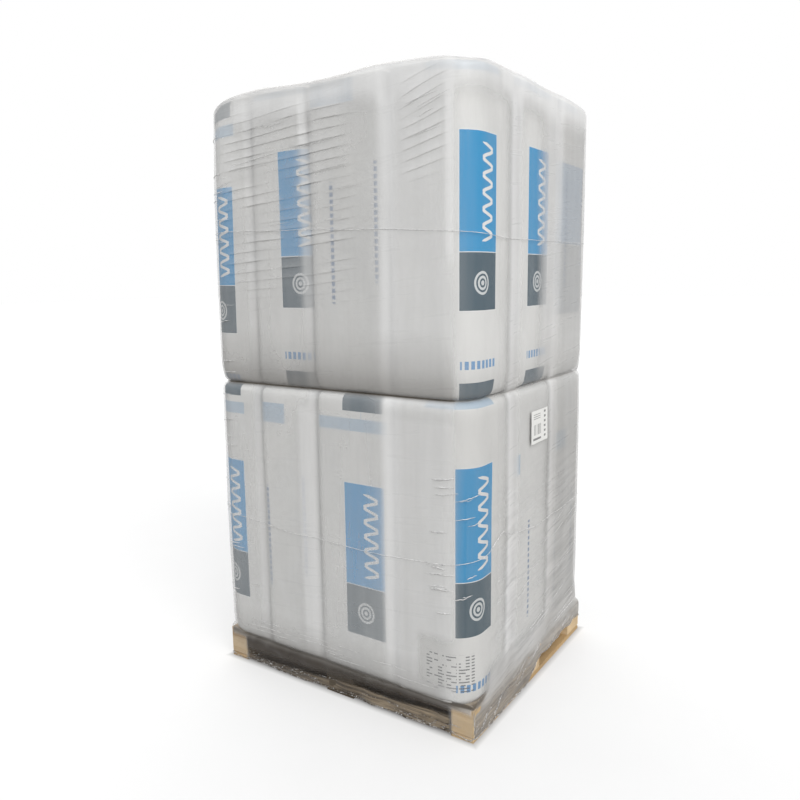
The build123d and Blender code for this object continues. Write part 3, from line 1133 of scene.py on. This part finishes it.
def crease(start, end, radius, wobble, points=14):
    """One crease from a place on the film to another, as (along, up), thin at both ends."""
    t = np.linspace(0, 1, points)
    height = toward(start[1], end[1], t) + wobble * np.cumsum(rng.normal(0, 0.5, points))
    return toward(start[0], end[0], t), height, radius * np.sin(math.pi * (0.03 + 0.94 * t)) ** 0.6


def family(count, along_range, up_range, length, slope, radius, wobble):
    """Creases scattered over one part of the film, all leaning about the same way."""
    made = []
    for _ in range(count):
        along = rng.uniform(*along_range)
        up = rng.uniform(*up_range)
        half = length * rng.uniform(0.5, 1.2) / 2
        lean = slope * rng.uniform(0.7, 1.3)
        size = radius * rng.uniform(0.6, 1.2)
        made.append(crease((along - half, up - half * lean), (along + half, up + half * lean), size, wobble))
    return made


def overlap_edge(places, radius=0.0013):
    """The edge of a lap of film, all the way round, through places given as (along, up)."""
    places = sorted((along % around, up) for along, up in places)
    along = np.linspace(0, around, 361)
    height = np.interp(along, *zip(*places), period=around) + 0.0015 * line_noise(along, 0.12, 61)
    return along, height, np.full(len(along), radius)


def hem_roll():
    """The film's cut edge, curled up on itself unevenly."""
    along = np.linspace(0, around, 601)
    uneven = 0.6 * line_noise(along, 0.05, 71) + 0.3 * line_noise(along, 0.02, 73)
    return along, hem_line(along) + 0.0045 + 0.002 * line_noise(along, 0.02, 75), 0.0021 * (1 + uneven)


# How many creases, where along and how high, their length, slope, thickness and unevenness
crease_families = (
    (5, (-1.02, -0.80), (1.98, 2.42), 0.24, 0.10, 0.0013, 0.0006),
    (5, (-0.66, -0.50), (1.98, 2.45), 0.20, 0.11, 0.0013, 0.0006),
    (4, (-0.19, -0.12), (2.12, 2.46), 0.12, 0.26, 0.0010, 0.0005),
    (14, (-0.125, -0.075), (0.47, 1.06), 0.09, 0.12, 0.0026, 0.002),
    (7, (-0.03, 0.04), (0.55, 1.0), 0.08, 0.15, 0.0018, 0.002),
    (14, (-1.25, -1.17), (0.30, 1.30), 0.09, 0.06, 0.0024, 0.002),
    (12, (-1.25, -1.17), (1.38, 2.40), 0.10, 0.08, 0.0022, 0.002),
    (12, (-1.05, -0.10), (0.180, 0.27), 0.24, 0.02, 0.0011, 0.001),
    (7, (0.25, 1.05), (0.16, 0.30), 0.30, 0.10, 0.0016, 0.002),
    (9, (0.30, 1.05), (0.30, 0.75), 0.16, 0.25, 0.0011, 0.002),
    (24, (1.3, 2.5), (1.6, 2.45), 0.26, 0.10, 0.0015, 0.002),
    (20, (2.6, 3.6), (1.7, 2.45), 0.24, -0.10, 0.0015, 0.002),
    (20, (1.3, 3.6), (0.3, 1.2), 0.24, 0.06, 0.0015, 0.002),
    (26, (-1.1, -0.15), (0.02, 0.06), 0.09, 0.05, 0.0013, 0.002),
    (16, (0.02, 0.28), (0.03, 0.10), 0.07, 0.6, 0.0015, 0.004),
    (12, (-1.06, -0.74), (0.018, 0.048), 0.05, 0.3, 0.0026, 0.005),
    (6, (-0.26, -0.16), (0.015, 0.050), 0.04, 0.5, 0.0022, 0.005),
    (50, (0.3, 3.6), (0.07, 0.13), 0.12, 0.4, 0.0016, 0.004),
)
upper_lap = (
    (-1.15, 1.992), (-0.78, 1.985), (-0.40, 1.970), (0.0, 1.946), (0.30, 1.930), (1.0, 1.936), (2.2, 1.95),
    (3.2, 1.975),
)
lower_lap = (
    (-1.1, 0.735), (-0.85, 0.713), (-0.35, 0.706), (-0.05, 0.728), (0.12, 0.745), (0.24, 0.797), (0.32, 0.76),
    (0.56, 0.722), (1.03, 0.729), (2.2, 0.74), (3.2, 0.75),
)
creases = [line for details in crease_families for line in family(*details)]
creases += [overlap_edge(upper_lap), overlap_edge(lower_lap), hem_roll()]


def crease_curve(lines):
    """The creases as splines on the film's surface."""
    curve = bpy.data.curves.new("crease_lines", "CURVE")
    curve.dimensions = "3D"
    for along, height, radius in lines:
        points, out = film_surface(along, np.maximum(height, hem_line(along) + 0.004))
        points[..., :2] += out * radius[:, None] * 0.6
        spline = curve.splines.new("POLY")
        spline.points.add(len(along) - 1)
        for point, place, size in zip(spline.points, points, radius):
            point.co = (*place, 1)
            point.radius = size
    return link_piece("film_creases", curve)


def sweep_tree(material):
    """Sweeps a round section, as thick as each point says, along every spline."""
    tree = bpy.data.node_groups.new("sweep_creases", "GeometryNodeTree")
    for name, kind in (("Geometry", "Geometry"), ("Sides", "Int"), ("Thickness", "Float")):
        tree.interface.new_socket(name, in_out="INPUT", socket_type="NodeSocket" + kind)
    tree.interface.new_socket("Geometry", in_out="OUTPUT", socket_type="NodeSocketGeometry")
    links = tree.links
    begin, end = tree.nodes.new("NodeGroupInput"), tree.nodes.new("NodeGroupOutput")
    kinds = ("CurvePrimitiveCircle", "InputRadius", "CurveToMesh")
    section, point_radius, sweep = [tree.nodes.new("GeometryNode" + kind) for kind in kinds]
    kinds = ("SetShadeSmooth", "RealizeInstances", "SetMaterial")
    smooth, realize, paint = [tree.nodes.new("GeometryNode" + kind) for kind in kinds]
    paint.inputs["Material"].default_value = material
    sweep.inputs["Fill Caps"].default_value = True
    links.new(begin.outputs["Sides"], section.inputs["Resolution"])
    links.new(begin.outputs["Thickness"], section.inputs["Radius"])
    links.new(begin.outputs["Geometry"], sweep.inputs["Curve"])
    links.new(section.outputs["Curve"], sweep.inputs["Profile Curve"])
    links.new(point_radius.outputs[0], sweep.inputs["Scale"])
    chain = [sweep, smooth, realize, paint, end]
    for before, after in zip(chain, chain[1:]):
        links.new(before.outputs[0], after.inputs[0])
    return tree


def made_plain(source, tree, name, settings):
    """Runs a node tree on an object and keeps its result as a plain mesh."""
    modifier = source.modifiers.new("shape", "NODES")
    modifier.node_group = tree
    for item in tree.interface.items_tree:
        if item.name in settings:
            modifier[item.identifier] = settings[item.name]
    evaluated = source.evaluated_get(bpy.context.evaluated_depsgraph_get())
    mesh = bpy.data.meshes.new_from_object(evaluated)
    mesh.name = name
    bpy.data.objects.remove(source)
    return link_piece(name, mesh)


crease_settings = {"Sides": 5, "Thickness": 1.0}
film_creases = made_plain(crease_curve(creases), sweep_tree(creased_film), "film_creases", crease_settings)
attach(film_creases, "root")


# Delivery label

def make_label():
    """The label lies on the film, and follows it."""
    low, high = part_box("delivery_label")
    y = np.linspace(low[1], high[1], 16)
    z = np.linspace(low[2] + 0.004, high[2] - 0.010, 14)[:, None] + 0 * y
    points, out = film_surface(film_line.place("right", y) + 0 * z, z)
    points[..., :2] += out * label_lift
    piece = skin("paper_label", points, y - low[1], z - low[2], (label_paper,), closed=False)
    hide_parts("delivery_label")
    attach(piece, "root")


make_label()


# Pallet

board_finishes = {
    "skid": wood_along_y, "deck_board": wood_along_y, "cross_board": wood_along_x, "block": wood_blocks,
}
for name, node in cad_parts.items():
    for kind, finish in board_finishes.items():
        if name.startswith(kind):
            for slot in node.material_slots:
                slot.material = finish


# Surroundings: a pale floor, soft daylight and the photograph's camera

def make_floor():
    """A plain floor that looks almost white, gives back little light, and has a painted shadow under the
    pallet.
    """
    mesh = bpy.data.meshes.new("floor")
    reach = 60
    corners = [(-reach, -reach, 0), (reach, -reach, 0), (reach, reach, 0), (-reach, reach, 0)]
    mesh.from_pydata(corners, [], [(0, 1, 2, 3)])
    f = Finish("pale_floor")
    here = f.here()
    x, y, _ = f.split(here)
    beyond_x = f.minus(f.calc("ABSOLUTE", x), pallet_half_width)
    beyond_y = f.minus(f.calc("ABSOLUTE", y), pallet_half_depth)
    open_floor = f.scaled(f.calc("MAXIMUM", beyond_x, beyond_y), -0.03, 0.03)
    seen = f.seen_directly()
    pale = f.mix(f.noise(here, 3, 3), (0.40, 0.40, 0.40), (0.42, 0.42, 0.42))
    # Under the pallet the floor is darker and has no glow: a painted shadow
    colour = f.mix(seen, (0.20, 0.19, 0.175), f.mix(open_floor, (0.10, 0.09, 0.08), pale))
    glow = f.times(seen, open_floor, 0.46)
    f.finish(base_color=colour, roughness=0.9, emission_color=(1, 1, 1), emission_strength=glow)
    mesh.materials.append(f.material)
    link_piece("floor", mesh)


def add_sun(name, toward_sun, strength, spread):
    """Soft light from far away, from the direction of a place as seen from the load."""
    light = bpy.data.lights.new(name, "SUN")
    light.energy = strength
    light.angle = math.radians(spread)
    light.color = (1, 0.99, 0.97)
    turn = Vector(toward_sun).to_track_quat("Z", "Y").to_matrix().to_4x4()
    link_piece(name, light).matrix_world = Matrix.Translation((0, 0, 6)) @ turn


def make_light():
    """Daylight from all round, which looks white where it is seen, and two soft suns."""
    bpy.context.scene.world = bpy.data.worlds.new("daylight")
    sky = ShaderNodes(bpy.context.scene.world)
    lit = sky.new("Background", (0.975, 0.985, 1.0), 0.76).outputs[0]
    seen = sky.new("Background", (1, 1, 1), 1.0).outputs[0]
    sky.new("OutputWorld", sky.new("MixShader", sky.seen_directly(), lit, seen).outputs[0])
    add_sun("right_sun", (0.671, -0.470, 0.574), 2.35, 50)
    add_sun("back_sun", (-0.55, 0.60, 0.58), 0.9, 60)


def make_camera():
    """The photograph's camera, as fitted to the pallet, the tier line and the top."""
    camera = bpy.data.cameras.new("photo_camera")
    camera.lens, camera.sensor_width = 33.26, 36
    yaw, pitch, roll = (math.radians(a) for a in (33.65, -9.37, -0.75))
    turn = Matrix.Rotation(yaw, 4, "Z") @ Matrix.Rotation(math.pi / 2 + pitch, 4, "X")
    turn = turn @ Matrix.Rotation(roll, 4, "Z")
    eye = link_piece("photo_camera", camera)
    eye.matrix_world = Matrix.Translation((1.882, -2.896, 1.79)) @ turn
    bpy.context.scene.camera = eye


make_floor()
make_light()
make_camera()
bpy.context.scene.view_settings.view_transform = "Standard"
